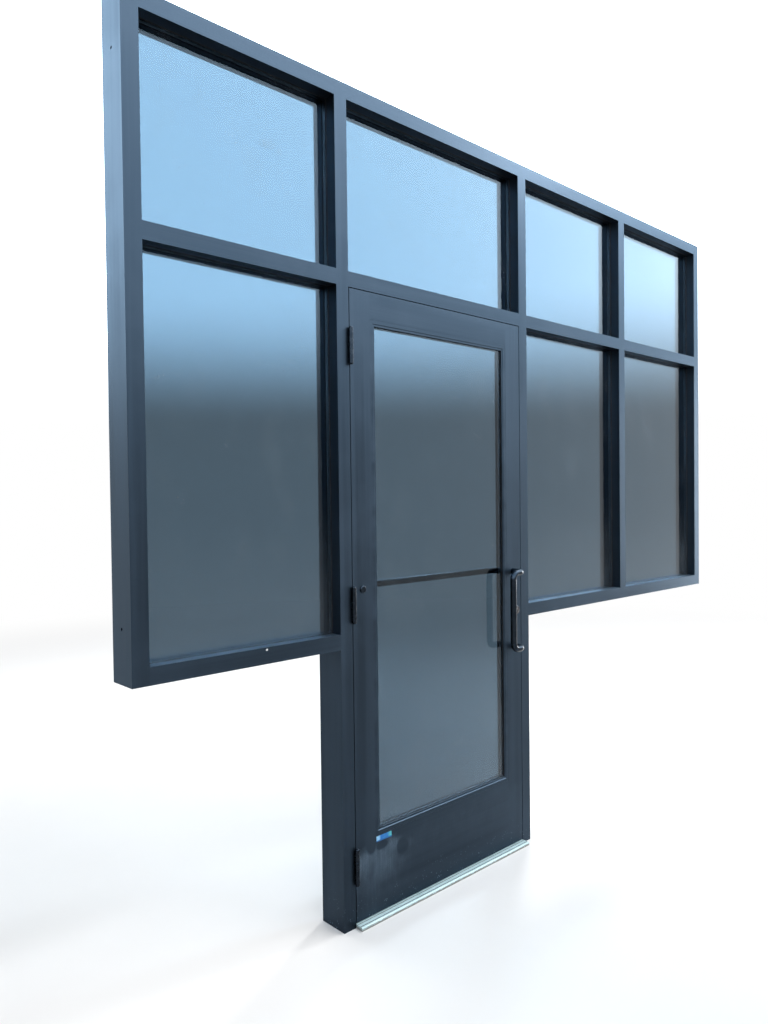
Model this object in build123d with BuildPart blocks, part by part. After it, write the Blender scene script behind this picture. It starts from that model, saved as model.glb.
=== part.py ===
"""Glazed aluminium entrance door in its frame, with transom lites and side windows.

Sizes are in millimetres. X runs along the face from the hinge side to the lock side, with 0 in the middle
of the door opening. Y runs through the frame from outside (-Y) to inside (+Y), with 0 in the middle of its
depth. Z is up from the floor.
"""

import os
from math import sqrt

from build123d import *

os.makedirs("parts", exist_ok=True)

# Layout of the openings
DOOR_OPENING_WIDTH = 914.4
DOOR_OPENING_HEIGHT = 2133.6
LEFT_LITE_WIDTH = 666.75
RIGHT_LITE_WIDTH = 730.25
TRANSOM_LITE_HEIGHT = 558.8
SILL_UNDERSIDE = 939.8

# Hollow frame extrusion with its glazing pocket
FRAME_FACE = 50.8
FRAME_DEPTH = 114.3
FRAME_WALL = 3.0
POCKET_DEPTH = 19.05
FILLER_WALL = 2.0
ANCHOR_HOLE_RADIUS = 4.5
ANCHOR_INSET = 152.4

# Insulating glass units
GLASS_UNIT = 25.4
PANE = 6.0
GLASS_BITE = 12.7
SPACER_HEIGHT = 12.7
GASKET_HEIGHT = 9.5
FRAME_GASKET = 4.75
BLOCK_LENGTH = 101.6

# Door leaf
DOOR_THICKNESS = 44.45
EDGE_GAP = 3.175
STILE_WIDTH = 88.9
TOP_RAIL_HEIGHT = 88.9
BOTTOM_RAIL_HEIGHT = 266.7
DOOR_WALL = 3.0
TIE_ROD_RADIUS = 4.75
TIE_ROD_CLEARANCE = 0.25
NUT_RADIUS = 8.2
NUT_THICKNESS = 8.0
ROD_END = 3.0

# Snap-in glass stops of the door
STOP_WIDTH = 22.225
STOP_RECESS = 0.4
STOP_STEP = 2.0
STOP_FLAT = 14.0
DOOR_GASKET = 3.175
DOOR_GLASS_EDGE_GAP = 9.525
CLIP_LEG = 2.5
CLIP_DEPTH = 5.0
JOINT_GAP = 0.2
DOOR_BLOCK_WIDTH = 15.0

# Door stops and seals
DOOR_STOP = 12.7
SEAL_SPACE = 4.8
SEAL_CLEARANCE = 0.3
SWEEP_PLATE = 3.0
SWEEP_HEIGHT = 27.0
SWEEP_RISE = 4.0
SWEEP_LIP = 1.6
SWEEP_CLEARANCE = 0.5
SWEEP_END_GAP = 4.0

# Threshold
THRESHOLD_HEIGHT = 12.7
THRESHOLD_FRONT = 31.75
THRESHOLD_LIP = 9.5
THRESHOLD_BEVEL = 3.2
THRESHOLD_WALL = 3.2
RIB_PITCH = 31.75
FLUTE_PITCH = 7.9
FLUTE_WIDTH = 2.6
FLUTE_DEPTH = 0.9
FLOOR_SCREW_RADIUS = 3.2
FLOOR_SCREW_HEAD_RADIUS = 5.0
FLOOR_SCREW_INSET = 76.2

# Butt hinges
HINGE_HEIGHT = 114.3
HINGE_LEAF_WIDTH = 34.0
HINGE_END = 190.0
MIDDLE_HINGE_HEIGHT = 1083.0
KNUCKLE_COUNT = 5
KNUCKLE_RADIUS = 8.0
KNUCKLE_GAP = 0.4
KNUCKLE_FACE_CLEARANCE = 0.3
PIN_RADIUS = 4.0
PIN_CLEARANCE = 0.05
BUTTON_RADIUS = 6.5
BUTTON_HEIGHT = 5.5
BUTTON_FILLET = 3.5
PLUG_LENGTH = 7.5
MORTISE_CLEARANCE = 0.15
HINGE_PLATE = 5.0
HINGE_PLATE_WIDTH = 30.0
HINGE_PLATE_EXTRA = 19.0

THREAD_CLEARANCE = 0.05

# Round pull outside and push bar inside
GRIP_DIAMETER = 25.4
GRIP_STANDOFF = 51.6
GRIP_BEND_RADIUS = 25.4
PULL_LENGTH = 304.8
PULL_RISE = 7.0
PULL_OFFSET = 62.6
PULL_POST_INSET = 50.8
PUSH_POST_INSET = 44.45
HANDLE_BOLT_RADIUS = 4.0
HANDLE_BOLT_DEPTH = 15.0
BOLT_CLEARANCE = 0.25
CAP_RADIUS = 12.7
CAP_HEIGHT = 5.0
CAP_FILLET = 3.5

# Lock
LOCK_HEIGHT = 972.0
LOCK_BACKSET = 28.575
LOCK_CASE_DEPTH = 50.8
LOCK_CASE_WIDTH = 22.0
LOCK_CASE_HEIGHT = 139.7
LOCK_CASE_RISE = 17.0
LOCK_CASE_WALL = 2.0
FACE_PLATE_WIDTH = 25.4
FACE_PLATE_HEIGHT = 152.4
CYLINDER_RADIUS = 14.3
CYLINDER_CLEARANCE = 0.2
COLLAR_RADIUS = 17.5
COLLAR_HEIGHT = 4.8
COLLAR_BEVEL = 2.0
PLUG_RADIUS = 6.35
TURNING_CLEARANCE = 0.05
KEYWAY_WIDTH = 1.8
KEYWAY_HEIGHT = 8.5
KEYWAY_DEPTH = 12.0
SPINDLE_RADIUS = 4.0
SPINDLE_REACH = 8.0
THUMB_WIDTH = 8.0
THUMB_HEIGHT = 32.0
THUMB_REACH = 16.0
THUMB_FILLET = 3.0
THUMB_CLEARANCE = 0.3
BOLT_RISE = 32.0
BOLT_THICKNESS = 12.7
BOLT_HEIGHT = 25.4
BOLT_LENGTH = 44.0
BOLT_SINK = 0.3
BOLT_SIDE_CLEARANCE = 0.3
BOLT_NOSE_FILLET = 1.5
STRIKE_WIDTH = 28.6
STRIKE_HEIGHT = 92.0
STRIKE_THICKNESS = 1.6
STRIKE_HOLE_MARGIN = 1.5

# Places worked out from the sizes above
FRONT = -FRAME_DEPTH / 2
BACK = FRAME_DEPTH / 2
POCKET_WIDTH = GLASS_UNIT + 2 * FRAME_GASKET
HINGE_JAMB = -DOOR_OPENING_WIDTH / 2
LOCK_JAMB = DOOR_OPENING_WIDTH / 2
HEADER_TOP = DOOR_OPENING_HEIGHT + FRAME_FACE
HEAD_UNDERSIDE = HEADER_TOP + TRANSOM_LITE_HEIGHT
FRAME_TOP = HEAD_UNDERSIDE + FRAME_FACE
SILL_TOP = SILL_UNDERSIDE + FRAME_FACE

DOOR_BACK = FRONT + DOOR_THICKNESS
DOOR_MIDDLE = FRONT + DOOR_THICKNESS / 2
HINGE_EDGE = HINGE_JAMB + EDGE_GAP
LOCK_EDGE = LOCK_JAMB - EDGE_GAP
DOOR_BOTTOM = THRESHOLD_HEIGHT + EDGE_GAP
DOOR_TOP = DOOR_OPENING_HEIGHT - EDGE_GAP
GLAZED_LEFT = HINGE_EDGE + STILE_WIDTH
GLAZED_RIGHT = LOCK_EDGE - STILE_WIDTH
GLAZED_BOTTOM = DOOR_BOTTOM + BOTTOM_RAIL_HEIGHT
GLAZED_TOP = DOOR_TOP - TOP_RAIL_HEIGHT
STOP_FACE = DOOR_BACK + SEAL_SPACE

PIN_X = HINGE_JAMB + EDGE_GAP / 2
PIN_Y = FRONT - KNUCKLE_RADIUS - KNUCKLE_FACE_CLEARANCE
HINGES = {
    "bottom": DOOR_BOTTOM + HINGE_END,
    "middle": MIDDLE_HINGE_HEIGHT,
    "top": DOOR_TOP - HINGE_END,
}

PULL_POST = LOCK_EDGE - PULL_POST_INSET
PUSH_POST = HINGE_EDGE + PUSH_POST_INSET
PULL_TOP = LOCK_HEIGHT + PULL_RISE + PULL_LENGTH / 2
PULL_BOTTOM = LOCK_HEIGHT + PULL_RISE - PULL_LENGTH / 2
PUSH_BAR_HEIGHT = PULL_TOP

CYLINDER_X = LOCK_EDGE - LOCK_BACKSET
BOLT_Z = LOCK_HEIGHT + BOLT_RISE
CASE_FRONT = DOOR_MIDDLE - LOCK_CASE_WIDTH / 2
CASE_BACK = DOOR_MIDDLE + LOCK_CASE_WIDTH / 2

# Centre lines of the uprights, from the left jamb to the right jamb
HINGE_MULLION = HINGE_JAMB - FRAME_FACE / 2
LOCK_MULLION = LOCK_JAMB + FRAME_FACE / 2
LEFT_JAMB = HINGE_MULLION - FRAME_FACE - LEFT_LITE_WIDTH
WINDOW_MULLION = LOCK_MULLION + FRAME_FACE + RIGHT_LITE_WIDTH
RIGHT_JAMB = WINDOW_MULLION + FRAME_FACE + RIGHT_LITE_WIDTH


def between(upright_a, upright_b):
    """Low and high X of the daylight between two uprights."""
    return upright_a + FRAME_FACE / 2, upright_b - FRAME_FACE / 2


BAYS = {
    "left": between(LEFT_JAMB, HINGE_MULLION),
    "door": between(HINGE_MULLION, LOCK_MULLION),
    "middle": between(LOCK_MULLION, WINDOW_MULLION),
    "right": between(WINDOW_MULLION, RIGHT_JAMB),
}
WINDOW_BAYS = ["left", "middle", "right"]

# Daylight of each lite, as low X, high X, low Z and high Z
LITES = {f"{bay}_window": (*BAYS[bay], SILL_TOP, DOOR_OPENING_HEIGHT) for bay in WINDOW_BAYS}
LITES.update({f"{bay}_transom": (*BAYS[bay], HEADER_TOP, HEAD_UNDERSIDE) for bay in BAYS})
DOOR_LITE = (
    GLAZED_LEFT + STOP_WIDTH,
    GLAZED_RIGHT - STOP_WIDTH,
    GLAZED_BOTTOM + STOP_WIDTH,
    GLAZED_TOP - STOP_WIDTH,
)


def save(piece, name):
    """Label a finished piece and write it as its own STEP file."""
    piece.part.label = name
    export_step(piece.part, f"parts/{name}.step")


def block(low, high, mode=Mode.ADD):
    """Box between its lowest and highest corners."""
    size = [b - a for a, b in zip(low, high)]
    with Locations(tuple((a + b) / 2 for a, b in zip(low, high))):
        Box(*size, mode=mode)


def drill(spots, direction, radius, depth=None):
    """Round holes that go in against a direction, right through where no depth is given."""
    with Locations(*[Plane(origin=spot, z_dir=direction) for spot in spots]):
        Hole(radius=radius, depth=depth)


def lite_slab(lite, grow, y_out, y_in, hole_grow=None):
    """Flat rectangle over a lite, grown past its daylight edges, or a ring if the hole's growth is given."""
    x_low, x_high, z_low, z_high = lite
    with BuildSketch(Plane.XZ.offset(-y_in)) as outline:
        with Locations(((x_low + x_high) / 2, (z_low + z_high) / 2)):
            Rectangle(x_high - x_low + 2 * grow, z_high - z_low + 2 * grow)
            if hole_grow is not None:
                width = x_high - x_low + 2 * hole_grow
                height = z_high - z_low + 2 * hole_grow
                Rectangle(width, height, mode=Mode.SUBTRACT)
    extrude(outline.sketch, amount=y_in - y_out)


# Frame


def pocket_box(side, depth, width, mode):
    """Rectangle that reaches in from one side of the section's face."""
    with Locations((side * (FRAME_FACE - depth) / 2, 0)):
        Rectangle(depth, width, mode=mode)


def draw_frame_section(pocket_sides):
    """Hollow section, with local X across the face, local Y through the depth and a pocket on each side named."""
    Rectangle(FRAME_FACE, FRAME_DEPTH)
    Rectangle(FRAME_FACE - 2 * FRAME_WALL, FRAME_DEPTH - 2 * FRAME_WALL, mode=Mode.SUBTRACT)
    for side in pocket_sides:
        pocket_box(side, POCKET_DEPTH + FRAME_WALL, POCKET_WIDTH + 2 * FRAME_WALL, Mode.ADD)
    for side in pocket_sides:
        pocket_box(side, POCKET_DEPTH, POCKET_WIDTH, Mode.SUBTRACT)


def hinge_mortises(face_x, side):
    """Cut the leaf's window through a wall at each hinge; side is +1 where the metal lies at higher X."""
    reach = FRAME_WALL + MORTISE_CLEARANCE
    half = HINGE_HEIGHT / 2 + MORTISE_CLEARANCE
    x_range = sorted([face_x - side, face_x + side * reach])
    for height in HINGES.values():
        low = (x_range[0], FRONT - 1, height - half)
        high = (x_range[1], FRONT + HINGE_LEAF_WIDTH + MORTISE_CLEARANCE, height + half)
        block(low, high, mode=Mode.SUBTRACT)


def strike_recess():
    """Seat for the strike plate and, through the wall behind it, the deadbolt's hole."""
    half_width = STRIKE_WIDTH / 2 + MORTISE_CLEARANCE
    half_height = STRIKE_HEIGHT / 2 + MORTISE_CLEARANCE
    low = (LOCK_JAMB - 1, DOOR_MIDDLE - half_width, BOLT_Z - half_height)
    high = (LOCK_JAMB + STRIKE_THICKNESS, DOOR_MIDDLE + half_width, BOLT_Z + half_height)
    block(low, high, mode=Mode.SUBTRACT)
    strike_hole(LOCK_JAMB, LOCK_JAMB + 2 * FRAME_WALL)


def strike_hole(x_low, x_high):
    """Rectangular hole that the deadbolt enters."""
    half_width = BOLT_THICKNESS / 2 + STRIKE_HOLE_MARGIN
    half_height = BOLT_HEIGHT / 2 + STRIKE_HOLE_MARGIN
    low = (x_low, DOOR_MIDDLE - half_width, BOLT_Z - half_height)
    high = (x_high, DOOR_MIDDLE + half_width, BOLT_Z + half_height)
    block(low, high, mode=Mode.SUBTRACT)


def make_uprights():
    """Five uprights that run through to the top; those beside the door stand on the floor."""
    with BuildPart() as left_jamb:
        with BuildSketch(Plane(origin=(LEFT_JAMB, 0, SILL_UNDERSIDE))):
            draw_frame_section([1])
        extrude(amount=FRAME_TOP - SILL_UNDERSIDE)
        anchor_heights = [SILL_UNDERSIDE + ANCHOR_INSET, FRAME_TOP - ANCHOR_INSET]
        outer_face = LEFT_JAMB - FRAME_FACE / 2
        drill([(outer_face, 0, z) for z in anchor_heights], (-1, 0, 0), ANCHOR_HOLE_RADIUS)
    save(left_jamb, "left_jamb")

    with BuildPart() as right_jamb:
        with BuildSketch(Plane(origin=(RIGHT_JAMB, 0, SILL_UNDERSIDE))):
            draw_frame_section([-1])
        extrude(amount=FRAME_TOP - SILL_UNDERSIDE)
        outer_face = RIGHT_JAMB + FRAME_FACE / 2
        drill([(outer_face, 0, z) for z in anchor_heights], (1, 0, 0), ANCHOR_HOLE_RADIUS)
    save(right_jamb, "right_jamb")

    with BuildPart() as window_mullion:
        with BuildSketch(Plane(origin=(WINDOW_MULLION, 0, SILL_UNDERSIDE))):
            draw_frame_section([-1, 1])
        extrude(amount=FRAME_TOP - SILL_UNDERSIDE)
    save(window_mullion, "window_mullion")

    with BuildPart() as hinge_mullion:
        with BuildSketch(Plane(origin=(HINGE_MULLION, 0, 0))):
            draw_frame_section([-1, 1])
        extrude(amount=FRAME_TOP)
        hinge_mortises(HINGE_JAMB, -1)
    save(hinge_mullion, "hinge_mullion")

    with BuildPart() as lock_mullion:
        with BuildSketch(Plane(origin=(LOCK_MULLION, 0, 0))):
            draw_frame_section([-1, 1])
        extrude(amount=FRAME_TOP)
        strike_recess()
    save(lock_mullion, "lock_mullion")


def make_crossbar(name, bay, underside, pocket_sides, anchored=False):
    """Horizontal between two uprights; -1 is a pocket below and 1 a pocket above."""
    x_low, x_high = BAYS[bay]
    plane = Plane(origin=(x_low, 0, underside + FRAME_FACE / 2), x_dir=(0, 0, 1), z_dir=(1, 0, 0))
    with BuildPart() as crossbar:
        with BuildSketch(plane):
            draw_frame_section(pocket_sides)
        extrude(amount=x_high - x_low)
        if anchored:
            top = underside + FRAME_FACE
            spots = [(x, 0, top) for x in (x_low + ANCHOR_INSET, x_high - ANCHOR_INSET)]
            drill(spots, (0, 0, 1), ANCHOR_HOLE_RADIUS)
    save(crossbar, name)


def make_crossbars():
    """Heads, transom bars and sills of every bay, and the header over the door."""
    for bay in BAYS:
        make_crossbar(f"{bay}_head", bay, HEAD_UNDERSIDE, [-1], anchored=True)
    make_crossbar("door_header", "door", DOOR_OPENING_HEIGHT, [-1, 1])
    for bay in WINDOW_BAYS:
        make_crossbar(f"{bay}_transom_bar", bay, DOOR_OPENING_HEIGHT, [-1, 1])
        make_crossbar(f"{bay}_sill", bay, SILL_UNDERSIDE, [1], anchored=True)


def make_frame_glass():
    """Glass units of the fixed lites, with spacers, gaskets and the blocks that they stand on."""
    pane_seats = [(-GLASS_UNIT / 2, PANE - GLASS_UNIT / 2), (GLASS_UNIT / 2 - PANE, GLASS_UNIT / 2)]
    for name, lite in LITES.items():
        with BuildPart() as glass:
            for y_out, y_in in pane_seats:
                lite_slab(lite, GLASS_BITE, y_out, y_in)
        save(glass, f"{name}_glass")

    with BuildPart() as glass_spacers:
        for lite in LITES.values():
            half = GLASS_UNIT / 2 - PANE
            lite_slab(lite, GLASS_BITE, -half, half, hole_grow=GLASS_BITE - SPACER_HEIGHT)
    save(glass_spacers, "glass_spacers")

    with BuildPart() as glazing_gaskets:
        for lite in LITES.values():
            lite_slab(lite, GASKET_HEIGHT, -POCKET_WIDTH / 2, -GLASS_UNIT / 2, hole_grow=0)
            lite_slab(lite, GASKET_HEIGHT, GLASS_UNIT / 2, POCKET_WIDTH / 2, hole_grow=0)
    save(glazing_gaskets, "glazing_gaskets")

    with BuildPart() as setting_blocks:
        for x_low, x_high, z_low, _ in LITES.values():
            quarter = (x_high - x_low) / 4
            for x_mid in (x_low + quarter, x_high - quarter):
                low = (x_mid - BLOCK_LENGTH / 2, -GLASS_UNIT / 2, z_low - POCKET_DEPTH)
                high = (x_mid + BLOCK_LENGTH / 2, GLASS_UNIT / 2, z_low - GLASS_BITE)
                block(low, high)
    save(setting_blocks, "setting_blocks")


def make_pocket_fillers():
    """Flat fillers that close the mullions' outer pockets below the window sills."""
    with BuildPart() as pocket_fillers:
        for side in (-1, 1):
            x_mid = side * (LOCK_JAMB + FRAME_FACE - POCKET_DEPTH / 2)
            with BuildSketch(Plane(origin=(x_mid, 0, 0))):
                Rectangle(POCKET_DEPTH, POCKET_WIDTH)
                Rectangle(POCKET_DEPTH - 2 * FILLER_WALL, POCKET_WIDTH - 2 * FILLER_WALL, mode=Mode.SUBTRACT)
            extrude(amount=SILL_UNDERSIDE)
    save(pocket_fillers, "pocket_fillers")


def door_stop_runs(side_top, head_half_length, set_in):
    """Plane and length along hinge jamb, lock jamb and header, with local X into the opening and local Y to +Y."""
    jamb_x = LOCK_JAMB - set_in
    head_z = DOOR_OPENING_HEIGHT - set_in
    side_length = side_top - THRESHOLD_HEIGHT
    return [
        (Plane(origin=(-jamb_x, 0, THRESHOLD_HEIGHT), x_dir=(1, 0, 0), z_dir=(0, 0, 1)), side_length),
        (Plane(origin=(jamb_x, 0, side_top), x_dir=(-1, 0, 0), z_dir=(0, 0, -1)), side_length),
        (Plane(origin=(-head_half_length, 0, head_z), x_dir=(0, 0, -1), z_dir=(1, 0, 0)), 2 * head_half_length),
    ]


def make_door_stops():
    """Stops that the closed door meets, plugged into the pockets of both mullions and the header."""
    half = POCKET_WIDTH / 2
    section = [
        (-POCKET_DEPTH, -half),
        (0, -half),
        (0, STOP_FACE),
        (DOOR_STOP, STOP_FACE),
        (DOOR_STOP, STOP_FACE + DOOR_STOP),
        (0, STOP_FACE + DOOR_STOP),
        (0, half),
        (-POCKET_DEPTH, half),
    ]
    head_half_length = DOOR_OPENING_WIDTH / 2 - DOOR_STOP - JOINT_GAP
    with BuildPart() as door_stops:
        for plane, length in door_stop_runs(DOOR_OPENING_HEIGHT, head_half_length, 0):
            with BuildSketch(plane):
                Polygon(*section, align=None)
                offset(amount=-FILLER_WALL, kind=Kind.INTERSECTION, mode=Mode.SUBTRACT)
            extrude(amount=length)
    save(door_stops, "door_stops")


def make_weatherstrips():
    """Half-round bulb seals on the door side of the stops."""
    radius = SEAL_SPACE - SEAL_CLEARANCE
    head_half_length = DOOR_OPENING_WIDTH / 2 - DOOR_STOP / 2 - radius - JOINT_GAP
    with BuildPart() as weatherstrips:
        for plane, length in door_stop_runs(DOOR_OPENING_HEIGHT, head_half_length, DOOR_STOP / 2):
            with BuildSketch(plane):
                with Locations((0, STOP_FACE)):
                    Circle(radius)
                with Locations((0, STOP_FACE + radius / 2)):
                    Rectangle(2 * radius, radius, mode=Mode.SUBTRACT)
            extrude(amount=length)
    save(weatherstrips, "weatherstrips")


def make_threshold():
    """Fluted saddle with three channels underneath and two countersunk holes for floor screws."""
    y_front = FRONT - THRESHOLD_FRONT
    flat_front = y_front + THRESHOLD_BEVEL
    flat_back = BACK - THRESHOLD_BEVEL
    flat_middle = (flat_front + flat_back) / 2
    channel = RIB_PITCH - THRESHOLD_WALL
    with BuildPart() as threshold:
        with BuildSketch(Plane.YZ.offset(HINGE_JAMB)):
            with BuildLine():
                Polyline(
                    (y_front, 0),
                    (y_front, THRESHOLD_LIP),
                    (flat_front, THRESHOLD_HEIGHT),
                    (flat_back, THRESHOLD_HEIGHT),
                    (BACK, THRESHOLD_LIP),
                    (BACK, 0),
                    close=True,
                )
            make_face()
            with Locations((flat_middle, 0)):
                with GridLocations(RIB_PITCH, 0, 3, 1):
                    Rectangle(channel, 2 * (THRESHOLD_HEIGHT - THRESHOLD_WALL), mode=Mode.SUBTRACT)
            flutes = int((flat_back - flat_front) / FLUTE_PITCH)
            with Locations((flat_middle, THRESHOLD_HEIGHT)):
                with GridLocations(FLUTE_PITCH, 0, flutes, 1):
                    Rectangle(FLUTE_WIDTH, 2 * FLUTE_DEPTH, mode=Mode.SUBTRACT)
        extrude(amount=DOOR_OPENING_WIDTH)
        screws_x = (HINGE_JAMB + FLOOR_SCREW_INSET, LOCK_JAMB - FLOOR_SCREW_INSET)
        with Locations(*[(x, flat_middle, THRESHOLD_HEIGHT) for x in screws_x]):
            CounterSinkHole(FLOOR_SCREW_RADIUS, FLOOR_SCREW_HEAD_RADIUS)
    save(threshold, "threshold")


# Hinges


def knuckle_spans(height):
    """Low and high Z of each knuckle of a hinge, from the lowest up."""
    pitch = HINGE_HEIGHT / KNUCKLE_COUNT
    bottom = height - HINGE_HEIGHT / 2
    ends = [(bottom + i * pitch, bottom + (i + 1) * pitch) for i in range(KNUCKLE_COUNT)]
    half_gap = KNUCKLE_GAP / 2
    return [
        (low + (half_gap if i > 0 else 0), high - (half_gap if i < KNUCKLE_COUNT - 1 else 0))
        for i, (low, high) in enumerate(ends)
    ]


def make_hinge_leaf(name, height, face_x, side, knuckles):
    """Leaf let into a wall, with its share of the knuckles; side is +1 where the wall lies at higher X."""
    x_low, x_high = sorted([face_x, face_x + side * FRAME_WALL])
    neck_start = PIN_Y + (PIN_RADIUS + KNUCKLE_RADIUS) / 2
    with BuildPart() as leaf:
        low = (x_low, FRONT, height - HINGE_HEIGHT / 2)
        high = (x_high, FRONT + HINGE_LEAF_WIDTH, height + HINGE_HEIGHT / 2)
        block(low, high)
        for z_low, z_high in knuckles:
            block((x_low, neck_start, z_low), (x_high, FRONT, z_high))
            with BuildSketch(Plane(origin=(PIN_X, PIN_Y, z_low))):
                Circle(KNUCKLE_RADIUS)
            extrude(amount=z_high - z_low)
        drill([(PIN_X, PIN_Y, height + HINGE_HEIGHT / 2)], (0, 0, 1), PIN_RADIUS)
    save(leaf, name)


def draw_button(z_face, direction):
    """Round button that closes an end of the barrel."""
    with BuildSketch(Plane(origin=(PIN_X, PIN_Y, z_face), z_dir=(0, 0, direction))) as button:
        Circle(BUTTON_RADIUS)
    extrude(button.sketch, amount=BUTTON_HEIGHT)


def make_hinge_pins():
    """Pin with its top button and, apart from it, the plug with the lower button, for each hinge."""
    shaft_radius = PIN_RADIUS - PIN_CLEARANCE
    with BuildPart() as hinge_pins:
        for height in HINGES.values():
            top = height + HINGE_HEIGHT / 2
            bottom = height - HINGE_HEIGHT / 2
            shaft_bottom = bottom + PLUG_LENGTH + KNUCKLE_GAP
            with BuildSketch(Plane(origin=(PIN_X, PIN_Y, shaft_bottom))):
                Circle(shaft_radius)
            extrude(amount=top - shaft_bottom)
            draw_button(top, 1)
            with BuildSketch(Plane(origin=(PIN_X, PIN_Y, bottom))):
                Circle(shaft_radius)
            extrude(amount=PLUG_LENGTH)
            draw_button(bottom, -1)
        rims = [
            rim
            for rim in hinge_pins.edges().filter_by(GeomType.CIRCLE)
            if any(
                abs(rim.center().Z - (height + sign * (HINGE_HEIGHT / 2 + BUTTON_HEIGHT))) < 0.01
                for height in HINGES.values()
                for sign in (-1, 1)
            )
        ]
        fillet(rims, radius=BUTTON_FILLET)
    save(hinge_pins, "hinge_pins")


def make_hinge_plates(name, face_x, side):
    """Backing plates that the leaves screw to, inside the hollow behind the wall."""
    x_low, x_high = sorted([face_x + side * FRAME_WALL, face_x + side * (FRAME_WALL + HINGE_PLATE)])
    half = HINGE_HEIGHT / 2 + HINGE_PLATE_EXTRA
    with BuildPart() as plates:
        for height in HINGES.values():
            low = (x_low, FRONT + FRAME_WALL, height - half)
            high = (x_high, FRONT + FRAME_WALL + HINGE_PLATE_WIDTH, height + half)
            block(low, high)
    save(plates, name)


def make_hinges():
    """Three butt hinges, their pins and the plates behind their leaves."""
    for place, height in HINGES.items():
        spans = knuckle_spans(height)
        make_hinge_leaf(f"{place}_hinge_frame_leaf", height, HINGE_JAMB, -1, spans[0::2])
        make_hinge_leaf(f"{place}_hinge_door_leaf", height, HINGE_EDGE, 1, spans[1::2])
    make_hinge_pins()
    make_hinge_plates("jamb_hinge_plates", HINGE_JAMB, -1)
    make_hinge_plates("door_hinge_plates", HINGE_EDGE, 1)


# Door leaf


def draw_door_tube(width):
    """Hollow section of a stile or rail, with local Y through the door's thickness."""
    Rectangle(width, DOOR_THICKNESS)
    Rectangle(width - 2 * DOOR_WALL, DOOR_THICKNESS - 2 * DOOR_WALL, mode=Mode.SUBTRACT)


TIE_ROD_HEIGHTS = [
    DOOR_BOTTOM + BOTTOM_RAIL_HEIGHT / 4,
    DOOR_TOP - TOP_RAIL_HEIGHT / 2,
]


def rod_holes(face_x, side):
    """Holes for the tie rods through a stile's inner wall; side is +1 where the stile lies at higher X."""
    spots = [(face_x, DOOR_MIDDLE, z) for z in TIE_ROD_HEIGHTS]
    drill(spots, (-side, 0, 0), TIE_ROD_RADIUS + TIE_ROD_CLEARANCE, depth=2 * DOOR_WALL)


def bolt_holes(spots):
    """Holes for the handles' bolts through both walls of a stile, given as X and Z."""
    radius = HANDLE_BOLT_RADIUS + BOLT_CLEARANCE
    drill([(x, FRONT, z) for x, z in spots], (0, -1, 0), radius)


def make_stiles():
    """Full-height stiles with the cut-outs for hinges, rods, handles and lock."""
    with BuildPart() as hinge_stile:
        with BuildSketch(Plane(origin=(HINGE_EDGE + STILE_WIDTH / 2, DOOR_MIDDLE, DOOR_BOTTOM))):
            draw_door_tube(STILE_WIDTH)
        extrude(amount=DOOR_TOP - DOOR_BOTTOM)
        hinge_mortises(HINGE_EDGE, 1)
        rod_holes(GLAZED_LEFT, -1)
        bolt_holes([(PUSH_POST, PUSH_BAR_HEIGHT)])
    save(hinge_stile, "hinge_stile")

    with BuildPart() as lock_stile:
        with BuildSketch(Plane(origin=(LOCK_EDGE - STILE_WIDTH / 2, DOOR_MIDDLE, DOOR_BOTTOM))):
            draw_door_tube(STILE_WIDTH)
        extrude(amount=DOOR_TOP - DOOR_BOTTOM)
        rod_holes(GLAZED_RIGHT, 1)
        bolt_holes([(PULL_POST, PULL_TOP), (PULL_POST, PULL_BOTTOM)])
        bore = CYLINDER_RADIUS + CYLINDER_CLEARANCE
        drill([(CYLINDER_X, FRONT, LOCK_HEIGHT)], (0, -1, 0), bore)
        half_width = FACE_PLATE_WIDTH / 2 + MORTISE_CLEARANCE
        half_height = FACE_PLATE_HEIGHT / 2 + MORTISE_CLEARANCE
        plate_z = LOCK_HEIGHT + LOCK_CASE_RISE
        low = (LOCK_EDGE - 2 * DOOR_WALL, DOOR_MIDDLE - half_width, plate_z - half_height)
        high = (LOCK_EDGE + 1, DOOR_MIDDLE + half_width, plate_z + half_height)
        block(low, high, mode=Mode.SUBTRACT)
    save(lock_stile, "lock_stile")


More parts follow.
